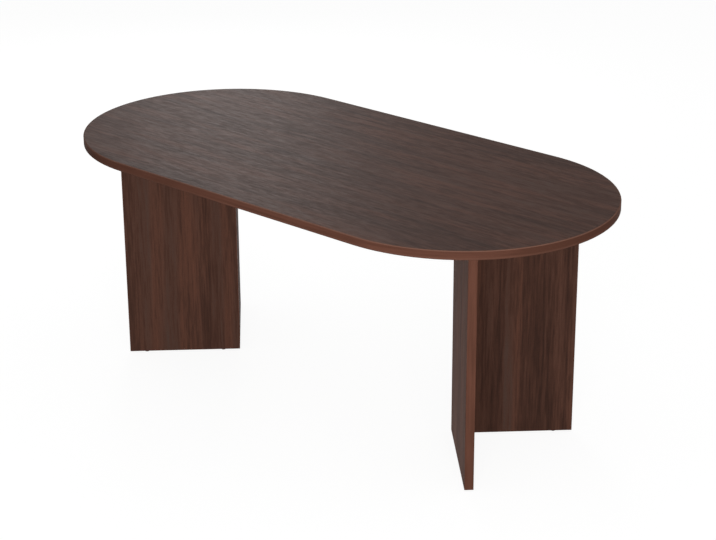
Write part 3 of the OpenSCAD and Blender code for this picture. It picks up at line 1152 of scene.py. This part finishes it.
@dataclass
class LegPanel:
    """One leg panel of a V base, with the fittings that hold it and that it stands on.

    Attributes:
        side: The end of the table that its base stands at.
        row: The long side of the table that it reaches to.
        figure: The shift that picks the outer face's part of the wood pattern.
        lightness: How light its laminate is beside the others; on the right front panel the extra
            lightness is painted light.
        inner_shift: How much further the inner face's part of the pattern is.
        glide_places: Which glides it has.
    """

    side: Side
    row: Row
    figure: tuple[float, float, float]
    lightness: float = 1.0
    inner_shift: tuple[float, float, float] = (3.1, -1.7, 0.9)
    glide_places: tuple[str, str] = ("tip", "corner")

    @property
    def name(self) -> str:
        """Gives the start of its nodes' names."""
        return f"{self.side.name}_{self.row.name}".lower()

    @property
    def along(self) -> Vector:
        """Gives the level direction from the V's corner to the panel's tip."""
        return Vector((self.side.value * DIAGONAL, self.row.value * DIAGONAL, 0.0))

    @property
    def inward(self) -> Vector:
        """Gives the level direction out of the panel's face inside the V."""
        return Vector((self.along.x, -self.along.y, 0.0))

    def facing(self, point: Vector) -> Matrix:
        """Gives the place of a fitting whose Y looks out of the inner face.

        Args:
            point: The fitting's own origin.

        Returns:
            The place and turn.
        """
        y, z = self.inward, Vector((0.0, 0.0, 1.0))
        turn = Matrix((y.cross(z), y, z)).transposed().to_4x4()
        return Matrix.Translation(point) @ turn

    def dress(self, nodes: Mapping[str, bpy.types.Object]) -> None:
        """Finishes the panel's CAD nodes.

        Args:
            nodes: The CAD nodes by name.
        """
        start = f"{self.name}_leg"
        ParticleBoard().dress(nodes[f"{start}_core"])
        inner = tuple(here + more for here, more in zip(self.figure, self.inner_shift))
        for face, figure in (("outer", self.figure), ("inner", inner)):
            title = f"{self.name}_{face}"
            sheet = WalnutLaminate(title, Grain.UPRIGHT, figure, lightness=self.lightness)
            sheet.dress(nodes[f"{start}_{face}_sheet"])
        bands = (f"{start}_tip_band", f"{start}_corner_band")
        EdgeBand(Grain.UPRIGHT).dress(*(nodes[band] for band in bands if band in nodes))
        rising = self.side.value == self.row.value
        level = Grain.ALONG_RIGHT_LEG if rising else Grain.ALONG_LEFT_LEG
        EdgeBand(level).dress(nodes[f"{start}_foot_band"])
        LOG.info("dressed the %s leg panel", self.name)


@dataclass
class PanelJoints:
    """The cams, bolts and dowels that pull each pair of panels into a V.

    Attributes:
        levels: The names of a V's cams, from the floor up.
    """

    levels: tuple[str, ...] = ("low", "middle", "high")

    def dress(self, nodes: Mapping[str, bpy.types.Object]) -> None:
        """Finishes the CAD nodes of the joints.

        Args:
            nodes: The CAD nodes by name.
        """
        cams = [f"{side.name.lower()}_cam_{level}" for side in Side for level in self.levels]
        CastZinc().dress(*(nodes[cam] for cam in cams))
        ZincPlate().dress(nodes["cam_bolts"], nodes["glide_inserts"])
        Beech().dress(nodes["dowels"])
        LOG.info("dressed the cams, bolts, inserts and dowels")


@dataclass
class AngleBrackets:
    """The bent steel brackets under the top and the pan-head screws through them.

    Attributes:
        width: A bracket's width along the panel.
        reach: The length of each of its legs.
        gauge: The steel's thickness.
        bend: The inside radius of the bend.
        corner: The radius of its free corners.
        edge: How wide the rounding of its edges is.
        bend_steps: How many steps its bend and its free corners have.
        hole_setback: How far the holes are from the bend's outer corner.
        hole_offset: How far the holes are from its middle.
        hole: The holes' diameter.
        sides: How many sides the holes and the screw's head have.
        head: The screw head's diameter.
        head_height: The screw head's height.
        blade: The length, width and height of the blades that cut the head's cross.
        cross_depth: How deep the cross is.
        cross_taper: The cross's size at its foot beside its mouth, on each axis.
        shank: The diameter over the screw's thread.
        shank_sides: How many sides the shank has.
        screw_length: The length of a screw under its head.
        tip: The radius of its tip.
        point: The length of its point.
        thread_start: How far above the tip its thread starts.
        thread_depth: How deep its thread is.
        thread_base: How wide its thread is at the root.
        thread_pitch: How far its thread climbs in one turn.
        thread_turns: How many turns its thread has.
        first_turn: How many degrees the first screws' crosses are turned.
        next_turn: How many degrees further each screw that is in place turns the next ones.
        screws: The screws that are in place.
    """

    width: float = 40.0 * MM
    reach: float = 32.0 * MM
    gauge: float = 2.0 * MM
    bend: float = 2.0 * MM
    corner: float = 4.0 * MM
    edge: float = 0.25 * MM
    bend_steps: int = 6
    hole_setback: float = 20.0 * MM
    hole_offset: float = 11.0 * MM
    hole: float = 4.6 * MM
    sides: int = 32
    head: float = 8.0 * MM
    head_height: float = 2.4 * MM
    blade: tuple[float, float, float] = (4.4 * MM, 0.85 * MM, 1.5 * MM)
    cross_depth: float = 1.4 * MM
    cross_taper: tuple[float, float, float] = (0.45, 0.6, 1.0)
    shank: float = 4.0 * MM
    shank_sides: int = 16
    screw_length: float = 16.0 * MM
    tip: float = 0.15 * MM
    point: float = 4.0 * MM
    thread_start: float = 3.4 * MM
    thread_depth: float = 0.55 * MM
    thread_base: float = 0.9 * MM
    thread_pitch: float = 1.8 * MM
    thread_turns: int = 6
    first_turn: float = 20.0
    next_turn: float = 37.0
    screws: list[bpy.types.Object] = field(default_factory=list)

    def bracket(self) -> bpy.types.Object:
        """Bends one bracket: Y points away from the panel, and Z up to the top.

        Returns:
            The bracket, with its outer corner at the origin.
        """
        outer = self.gauge + self.bend
        size = (self.width, self.gauge, self.reach - outer)
        centre = (0.0, self.gauge / 2, -(self.reach + outer) / 2)
        piece = Bench.block("bracket_pattern", size, centre)
        Bench.choose(piece, lambda face: face.normal.z > 0.9)
        bpy.ops.mesh.spin(
            steps=self.bend_steps,
            angle=-QUARTER,
            center=(0.0, outer, -outer),
            axis=(1.0, 0.0, 0.0),
        )
        run = {"value": (0.0, self.reach - outer, 0.0)}
        bpy.ops.mesh.extrude_region_move(TRANSFORM_OT_translate=run)
        bpy.ops.mesh.select_all(action="SELECT")
        bpy.ops.mesh.remove_doubles(threshold=1e-6)
        Bench.face_outwards()
        side, free, slack = self.width / 2, self.reach, MM / 10

        def is_free_corner(edge: bmesh.types.BMEdge) -> bool:
            """Says whether an edge runs through the sheet at a free corner.

            Args:
                edge: The edge.

            Returns:
                Whether it does.
            """
            a, b = (corner.co for corner in edge.verts)
            at_side = min(abs(a.x), abs(b.x)) > side - slack
            low = max(a.z, b.z) < slack - free
            far = min(a.y, b.y) > free - slack
            return at_side and (low or far) and abs(a.x - b.x) < slack

        Bench.choose(piece, is_free_corner, Part.EDGES)
        bpy.ops.mesh.bevel(offset=self.corner, segments=self.bend_steps)
        for offset in (-self.hole_offset, self.hole_offset):
            for lean, point in (
                (QUARTER, (offset, 0.0, -self.hole_setback)),
                (0.0, (offset, self.hole_setback, 0.0)),
            ):
                Bench.clear()
                bpy.ops.mesh.primitive_cylinder_add(
                    vertices=self.sides,
                    radius=self.hole / 2,
                    depth=4 * self.gauge,
                    location=point,
                    rotation=(lean, 0.0, 0.0),
                )
                Bench.cut(piece, bpy.context.object)
        Bench.soften(piece, self.edge)
        Bench.level_shading(piece)
        ZincPlate().dress(piece)
        return piece

    def screw(self) -> bpy.types.Object:
        """Turns one screw, head up: its shank hangs from the origin and its head stands on it.

        Returns:
            The screw.
        """
        top, rim = self.head_height, self.head / 2
        head = Bench.turned(
            "head_pattern",
            [
                (rim - 0.5 * MM, 0.0),
                (rim - 0.1 * MM, 0.15 * MM),
                (rim, 0.55 * MM),
                (rim - 0.12 * MM, 1.15 * MM),
                (rim - 0.55 * MM, 1.75 * MM),
                (rim - 1.35 * MM, top - 0.2 * MM),
                (rim - 2.3 * MM, top),
                (0.6 * MM, top),
            ],
            self.sides,
        )
        foot = top - self.cross_depth
        for turn in (0.0, QUARTER):
            blade = Bench.block("blade", self.blade, (0.0, 0.0, foot + self.blade[2] / 2))
            Bench.choose(blade, lambda face: face.normal.z < -0.9)
            bpy.ops.transform.resize(value=self.cross_taper, center_override=(0.0, 0.0, foot))
            Bench.clear()
            blade.rotation_euler = (0.0, 0.0, turn)
            Bench.settle(blade)
            Bench.cut(head, blade)
        end, root = -self.screw_length, self.shank / 2 - self.thread_depth
        rings = [(self.tip, end), (root, end + self.point), (root, 0.05 * MM)]
        shank = Bench.turned("shank_pattern", rings, self.shank_sides)
        thread = Bench.ridge(
            "thread_pattern",
            (root, self.shank / 2),
            self.thread_base,
            self.thread_pitch,
            end + self.thread_start,
            self.thread_turns,
        )
        Bench.smooth(head)
        Bench.smooth(shank)
        piece = Bench.joined("screw_pattern", [head, shank, thread])
        ZincPlate().dress(piece)
        return piece

    def build(self, panels: Iterable[LegPanel]) -> None:
        """Puts two brackets and eight screws on each panel.

        Args:
            panels: The four leg panels.
        """
        bracket, screw = self.bracket(), self.screw()
        for panel in panels:
            node = f"{panel.name}_leg_brackets"
            low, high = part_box(node)
            middle = (low + high) / 2
            middle.z = high.z
            spacing = (high.x - low.x) / DIAGONAL - self.width - self.reach
            corner = middle - panel.inward * self.reach / 2
            pair = []
            for number, step in enumerate((-spacing / 2, spacing / 2)):
                place = panel.facing(corner + panel.along * step)
                pair.append(Bench.placed(bracket, f"{node}_{number}", place))
                self.drive(screw, place)
            piece = Bench.joined(f"{panel.name}_bent_brackets", pair)
            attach(piece, "table")
            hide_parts(node)
            LOG.info("made %s", piece.name)
        piece = Bench.joined("pan_head_screws", self.screws)
        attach(piece, "table")
        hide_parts("bracket_screws")
        Bench.discard(bracket, screw)
        LOG.info("made %s", piece.name)

    def drive(self, screw: bpy.types.Object, place: Matrix) -> None:
        """Copies the screw into the four holes of one bracket, each turned a little further.

        Args:
            screw: The screw.
            place: The bracket's place and turn.
        """
        into_panel = Matrix.Rotation(-QUARTER, 4, "X")
        into_top = Matrix.Rotation(math.pi, 4, "X")
        for offset in (-self.hole_offset, self.hole_offset):
            degrees = self.first_turn + self.next_turn * len(self.screws)
            spin = Matrix.Rotation(math.radians(degrees), 4, "Z")
            for turn, point in (
                (into_panel, (offset, self.gauge, -self.hole_setback)),
                (into_top, (offset, self.hole_setback, -self.gauge)),
            ):
                where = place @ Matrix.Translation(point) @ turn @ spin
                self.screws.append(Bench.placed(screw, f"screw_{len(self.screws)}", where))


@dataclass
class LevellingGlides:
    """The screw-in levelling glides: a nylon pad and a threaded steel stem in each insert.

    Attributes:
        flat: The radius of the pad's flat on the floor.
        flat_rise: How high the pad's underside is beside that flat.
        rim: The radius of the pad's rim.
        height: The pad's height.
        floor: The thickness of the pad under the stem's head.
        mouth: The radius of the pad's mouth round the stem.
        mouth_chamfer: The size of the chamfer there.
        hollow: The radius of the hollow for the stem's head.
        ceiling: The height of the hollow's upper face.
        middle: The radius of the discs in the middle of the pad's floor.
        pad_sides: How many sides the pad has.
        head: The radius of the stem's head.
        head_base: The height of the head's lower face.
        head_top: The height of its upper face.
        head_bevel: The size of the chamfers of its rim.
        neck: The radius of the stem's neck.
        crest: The radius of the thread's crest.
        root: The radius of its root.
        ridge: The width of the thread's ridge at its root.
        pitch: The thread's pitch.
        thread_base: The height where its thread starts, above the pad.
        narrowing: How far below and above that height the neck narrows to the root.
        thread_end: How far below the chamfer the thread ends at the latest.
        tip: The height of the stem's upper end.
        chamfer: The size of the chamfer there.
        stem_sides: How many sides the stem has.
        edge: The size of the rounding of the pad's rim.
        grips: How many finger grips the rim has.
        grip_gap: How many degrees of the rim stand between two of them.
        grip_depth: How deep they are.
    """

    flat: float = 6.0 * MM
    flat_rise: float = 0.16 * MM
    rim: float = 9.0 * MM
    height: float = 4.8 * MM
    floor: float = 1.5 * MM
    mouth: float = 4.08 * MM
    mouth_chamfer: float = 0.1 * MM
    hollow: float = 5.58 * MM
    ceiling: float = 3.06 * MM
    middle: float = 0.5 * MM
    pad_sides: int = 96
    head: float = 5.5 * MM
    head_base: float = 1.58 * MM
    head_top: float = 2.98 * MM
    head_bevel: float = 0.15 * MM
    neck: float = 3.9 * MM
    crest: float = 4.0 * MM
    root: float = 3.35 * MM
    ridge: float = 1.12 * MM
    pitch: float = 1.25 * MM
    thread_base: float = 5.4 * MM
    narrowing: tuple[float, float] = (0.2 * MM, 0.3 * MM)
    thread_end: float = 1.0 * MM
    tip: float = 29.0 * MM
    chamfer: float = 0.7 * MM
    stem_sides: int = 40
    edge: float = 0.35 * MM
    grips: int = 16
    grip_gap: float = 12.0
    grip_depth: float = 0.28 * MM

    def pad(self) -> bpy.types.Object:
        """Moulds one pad, with its hollow, rounded rim and finger grips.

        Returns:
            The pad, standing on the origin.
        """
        rim, edge, top = self.rim, self.edge, self.height
        piece = Bench.turned(
            "pad_pattern",
            [
                (self.middle, self.floor),
                (self.hollow, self.floor),
                (self.hollow, self.ceiling),
                (self.mouth, self.ceiling),
                (self.mouth, top - self.mouth_chamfer),
                (self.mouth + self.mouth_chamfer, top),
                (rim - edge, top),
                (rim - 0.3 * edge, top - 0.3 * edge),
                (rim, top - edge),
                (rim, top / 2 + edge / 2),
                (rim - 0.25 * edge, top / 2 - 0.1 * edge),
                (self.flat + edge, self.flat_rise),
                (self.flat, 0.0),
                (self.middle, 0.0),
            ],
            self.pad_sides,
        )

        def is_grip(face: bmesh.types.BMFace) -> bool:
            """Says whether a face of the rim's wall lies in one of its grips.

            Args:
                face: The face.

            Returns:
                Whether it does.
            """
            middle = face.calc_center_median()
            on_wall = abs(face.normal.z) <= 0.3 and middle.xy.length >= rim - edge
            round_rim = math.degrees(math.atan2(middle.y, middle.x))
            return on_wall and round_rim % (360.0 / self.grips) > self.grip_gap

        Bench.choose(piece, is_grip)
        grip = 1.0 - self.grip_depth / rim
        bpy.ops.transform.resize(value=(grip, grip, 1.0), center_override=ORIGIN)
        Bench.smooth(piece, 40.0)
        BlackNylon().dress(piece)
        return piece

    def stem(self) -> bpy.types.Object:
        """Turns one stem with its head, neck and thread.

        Returns:
            The stem, where it stands in a pad on the origin.
        """
        bevel, (below, above) = self.head_bevel, self.narrowing
        core = Bench.turned(
            "stem_core",
            [
                (self.head - bevel, self.head_base),
                (self.head, self.head_base + bevel),
                (self.head, self.head_top - bevel),
                (self.head - bevel, self.head_top),
                (self.neck, self.head_top),
                (self.neck, self.thread_base - below),
                (self.root, self.thread_base + above),
                (self.root, self.tip - self.chamfer),
                (self.root - self.chamfer, self.tip),
            ],
            self.stem_sides,
        )
        thread = Bench.ridge(
            "stem_thread",
            (self.root, self.crest),
            self.ridge,
            self.pitch,
            self.thread_base,
            int((self.tip - self.chamfer - self.thread_base - self.thread_end) / self.pitch),
        )
        Bench.smooth(core)
        Bench.smooth(thread, 30.0)
        piece = Bench.joined("stem_pattern", [core, thread])
        ZincPlate().dress(piece)
        return piece

    def build(self, panels: Iterable[LegPanel]) -> None:
        """Puts a glide in each of the feet.

        Args:
            panels: The four leg panels.
        """
        pad, stem = self.pad(), self.stem()
        for panel in panels:
            for spot in panel.glide_places:
                start = f"{panel.name}_{spot}_glide"
                low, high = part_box(f"{start}_pad")
                where = Matrix.Translation(((low.x + high.x) / 2, (low.y + high.y) / 2, 0.0))
                for pattern, part, looks, slot in (
                    (pad, "pad", "nylon_foot", "black_nylon"),
                    (stem, "stem", "threaded_stem", "zinc_steel"),
                ):
                    piece = Bench.placed(pattern, f"{panel.name}_{spot}_{looks}", where)
                    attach(piece, f"{start}_{part}")
                    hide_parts(f"{start}_{part}")
                    LOG.info("made %s", piece.name)
        Bench.discard(pad, stem)


# The studio


def seen_directly(tree: ShaderTree) -> Value:
    """Tells rays that show a surface from those that only light the object.

    Args:
        tree: The tree that asks.

    Returns:
        1 for camera, glossy and transmission rays, and otherwise 0.
    """
    rays = tree.add("ShaderNodeLightPath").outputs
    camera, glossy = Value(tree, rays["Is Camera Ray"]), Value(tree, rays["Is Glossy Ray"])
    return (camera + glossy + Value(tree, rays["Is Transmission Ray"])).at_most(1.0)


@dataclass(frozen=True)
class StudioFloor(Finish):
    """White paper floor that keeps a soft shadow.

    Attributes:
        paper: Its own grey.
        glow: How much of it is plain white where it is seen.
        white: How bright that white is.
    """

    paper: float = 0.92
    glow: float = 0.80
    white: float = 1.125

    def paint(self, tree: ShaderTree) -> None:
        """Fills the material's tree.

        Args:
            tree: The empty tree.
        """
        fleck = tree.cloud(tree.place(), 30.0, 3.0, 0.6)
        colour = tree.shade(WHITE, self.paper + 0.02 * (fleck - 0.5))
        paper = {"Base Color": colour, "Roughness": 0.9, "Specular IOR Level": 0.0}
        plain = tree.add("ShaderNodeBsdfPrincipled", None, paper)
        white = tree.add("ShaderNodeEmission", None, {"Color": WHITE, "Strength": self.white})
        share = self.glow * seen_directly(tree)
        both = {0: share, 1: plain.outputs[0], 2: white.outputs[0]}
        mixed = tree.add("ShaderNodeMixShader", None, both)
        tree.add("ShaderNodeOutputMaterial", None, {"Surface": mixed.outputs[0]})


@dataclass(frozen=True)
class Lamp:
    """A soft rectangular lamp.

    Attributes:
        name: Its name.
        place: Where it is.
        aim: The point that it shines at.
        size: Its width and height.
        power: Its power in watts.
    """

    name: str
    place: tuple[float, float, float]
    aim: tuple[float, float, float]
    size: tuple[float, float]
    power: float

    def hang(self) -> None:
        """Puts the lamp in the scene."""
        light = bpy.data.lights.new(self.name, "AREA")
        light.shape = "RECTANGLE"
        light.size, light.size_y = self.size
        light.energy = self.power
        lamp = bpy.data.objects.new(self.name, light)
        bpy.context.scene.collection.objects.link(lamp)
        lamp.location = self.place
        lamp.rotation_mode = "QUATERNION"
        lamp.rotation_quaternion = (Vector(self.aim) - Vector(self.place)).to_track_quat("-Z", "Y")
        LOG.info("hung the %s lamp", self.name)


@dataclass
class Studio:
    """The white studio: floor, lights, world and the camera at the photograph's place.

    Attributes:
        azimuth: How far the camera is turned round from the front, in radians.
        elevation: How far it looks down, in radians.
        roll: How far it is tipped, in radians.
        aim: The point that it looks at.
        distance: How far it is from that point.
        focal_pixels: Its focal length in pixels of the picture.
        picture_width: The picture's width in pixels.
        sensor: The width of its sensor in millimetres.
        sight: How far it sees.
        fill: The strength of the even light from all round.
        floor_size: The floor's width.
        lamps: The lamps.
    """

    azimuth: float = 0.736376
    elevation: float = 0.376463
    roll: float = -0.004963
    aim: tuple[float, float, float] = (0.057589, 0.018214, 0.4)
    distance: float = 5.668773
    focal_pixels: float = 1905.376
    picture_width: float = 716.0
    sensor: float = 36.0
    sight: float = 200.0
    fill: float = 0.40
    floor_size: float = 60.0
    lamps: tuple[Lamp, ...] = (
        Lamp("front", (4.6, -4.9, 1.7), (0.0, 0.0, 0.45), (3.6, 2.4), 288.0),
        Lamp("left_fill", (-3.8, -4.2, 1.4), (0.0, 0.0, 0.45), (2.4, 2.0), 3.0),
        Lamp("back_left", (-3.08, 2.50, 2.1), (-0.75, 0.0, 0.7), (1.0, 1.2), 25.5),
    )

    def camera(self) -> None:
        """Sets up the camera."""
        a, e = self.azimuth, self.elevation
        ahead = Vector((-math.sin(a) * math.cos(e), math.cos(a) * math.cos(e), -math.sin(e)))
        level = Vector((math.cos(a), math.sin(a), 0.0))
        upright = level.cross(ahead)
        right = math.cos(self.roll) * level + math.sin(self.roll) * upright
        up = math.cos(self.roll) * upright - math.sin(self.roll) * level
        place = Matrix.Translation(Vector(self.aim) - ahead * self.distance)
        lens = bpy.data.cameras.new("camera")
        lens.sensor_fit = "HORIZONTAL"
        lens.sensor_width = self.sensor
        lens.lens = self.focal_pixels / self.picture_width * self.sensor
        lens.clip_end = self.sight
        camera = bpy.data.objects.new("camera", lens)
        bpy.context.scene.collection.objects.link(camera)
        camera.matrix_world = place @ Matrix((right, up, -ahead)).transposed().to_4x4()
        bpy.context.scene.camera = camera
        LOG.info("set up the camera")

    def floor(self) -> None:
        """Lays the floor."""
        Bench.clear()
        bpy.ops.mesh.primitive_plane_add(size=self.floor_size, location=ORIGIN)
        ground = bpy.context.object
        ground.name = "studio_floor"
        StudioFloor().dress(ground)
        LOG.info("laid the floor")

    def world(self) -> None:
        """Makes the even light all round, which is white to the camera and in reflections."""
        world = bpy.data.worlds.new("white_studio")
        world.use_nodes = True
        bpy.context.scene.world = world
        tree = ShaderTree(world.node_tree)
        strength = self.fill + (1.0 - self.fill) * seen_directly(tree)
        shader = tree.add("ShaderNodeBackground", None, {"Color": WHITE, "Strength": strength})
        tree.add("ShaderNodeOutputWorld", None, {"Surface": shader.outputs[0]})
        LOG.info("lit the world")

    def build(self) -> None:
        """Builds the studio."""
        self.camera()
        self.floor()
        for lamp in self.lamps:
            lamp.hang()
        self.world()
        bpy.context.scene.view_settings.view_transform = "Standard"


def main() -> None:
    """Loads the frame, dresses and builds the table, and sets up the studio."""
    logging.basicConfig(level=logging.INFO, format="%(name)s: %(message)s")
    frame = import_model()
    nodes = frame["nodes"]
    Studio().build()
    Tabletop().dress(nodes)
    panels = [
        LegPanel(Side.LEFT, Row.FRONT, (2.74, 1.64, 0.55), 1.03),
        LegPanel(Side.LEFT, Row.BACK, (5.3, 2.1, 0.4)),
        # The right front panel's laminate is painted lighter, as painted light on its dim outer
        # face.
        LegPanel(Side.RIGHT, Row.FRONT, (2.7, 4.4, 1.3), 1.60),
        LegPanel(Side.RIGHT, Row.BACK, (2.42, 5.04, 0.56), 0.95),
    ]
    for panel in panels:
        panel.dress(nodes)
    PanelJoints().dress(nodes)
    AngleBrackets().build(panels)
    LevellingGlides().build(panels)


if __name__ == "__main__":
    main()
